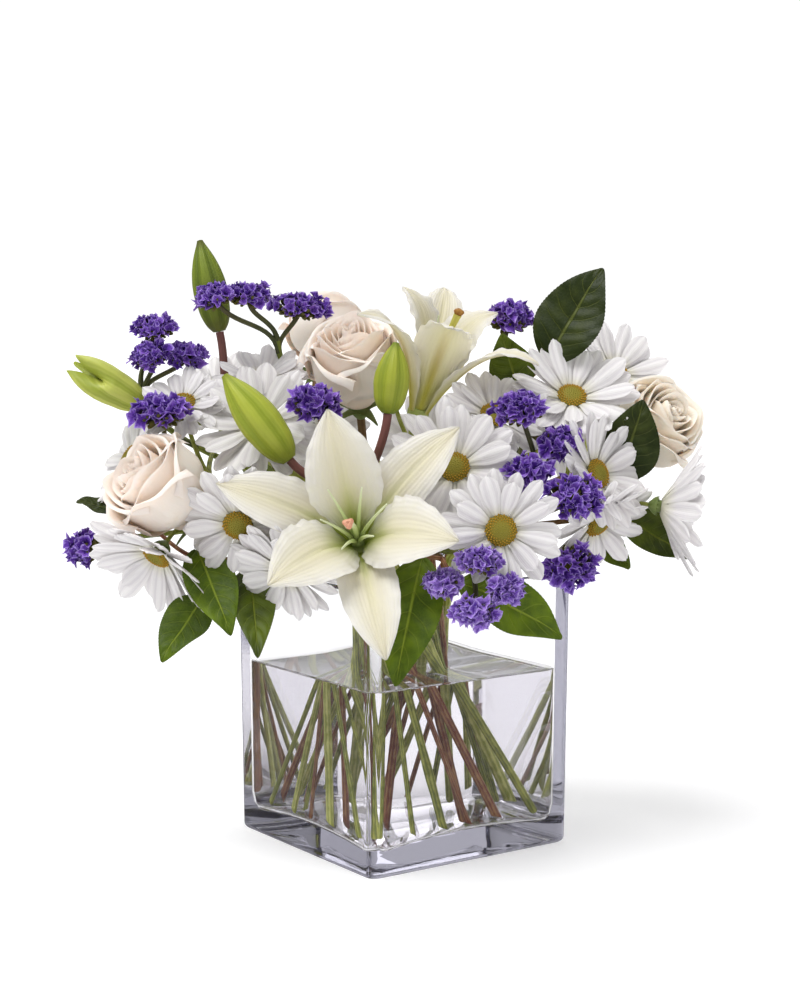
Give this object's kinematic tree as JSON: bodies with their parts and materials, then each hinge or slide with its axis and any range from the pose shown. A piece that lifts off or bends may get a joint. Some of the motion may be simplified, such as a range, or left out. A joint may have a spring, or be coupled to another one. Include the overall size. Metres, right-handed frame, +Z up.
{
  "type": "lilies in a glass vase",
  "caption": "Square clear glass vase of water with a loose mixed bouquet of white lilies, roses, daisy chrysanthemums, violet statice and broad green leaves.",
  "frame": {"origin": "centre of the vase's flat foot, on the surface that it stands on", "axes": "+Z up, +X and +Y square to the vase's side faces; the bouquet's front looks 35 degrees from -Y towards -X"},
  "size_m": [0.3196, 0.2671, 0.315],
  "materials": {
    "glass": "clear polished thick glass",
    "water": "clear still water",
    "lily_petal": "waxy ivory petal, green-yellow at the throat",
    "lily_heart": "pale green filaments, salmon stigma",
    "lily_bud": "satin yellow-green with darker ribs",
    "rose_petal": "velvety cream with a peach blush",
    "daisy_petal": "matt white petal",
    "statice": "dry papery violet florets",
    "leaf": "glossy dark green leaf with pale veins",
    "stem": "satin green stem, with green cups and ochre discs"
  },
  "bodies": {
    "root": {"bud_centre": "lily_bud", "bud_left": "lily_bud", "bud_middle": "lily_bud", "bud_top": "lily_bud", "daisies_back_spray": "stem", "daisies_centre_spray": "stem", "daisies_front_spray": "stem", "daisies_left_spray": "stem", "daisies_right_spray": "stem", "daisy_1": "daisy_petal", "daisy_10": "daisy_petal", "daisy_11": "daisy_petal", "daisy_12": "daisy_petal", "daisy_13": "daisy_petal", "daisy_14": "daisy_petal", "daisy_15": "daisy_petal", "daisy_16": "daisy_petal", "daisy_17": "daisy_petal", "daisy_18": "daisy_petal", "daisy_19": "daisy_petal", "daisy_2": "daisy_petal", "daisy_20": "daisy_petal", "daisy_3": "daisy_petal", "daisy_4": "daisy_petal", "daisy_5": "daisy_petal", "daisy_6": "daisy_petal", "daisy_7": "daisy_petal", "daisy_8": "daisy_petal", "daisy_9": "daisy_petal", "leaves_back": "leaf", "leaves_front": "leaf", "leaves_high": "leaf", "leaves_left": "leaf", "leaves_right": "leaf", "lily_a_heart": "lily_heart", "lily_a_stem": "stem", "lily_a_tepals": "lily_petal", "lily_b_heart": "lily_heart", "lily_b_stem": "stem", "lily_b_tepals": "lily_petal", "lily_c_stem": "stem", "rose_back_petals": "rose_petal", "rose_back_stem": "stem", "rose_high_petals": "rose_petal", "rose_high_stem": "stem", "rose_left_petals": "rose_petal", "rose_left_stem": "stem", "rose_right_petals": "rose_petal", "rose_right_stem": "stem", "statice_back": "statice", "statice_crown": "statice", "statice_front": "statice", "statice_high": "statice", "statice_left": "statice", "statice_low": "statice", "statice_right": "statice", "vase": "glass", "water": "water"}
  },
  "joints": []
}
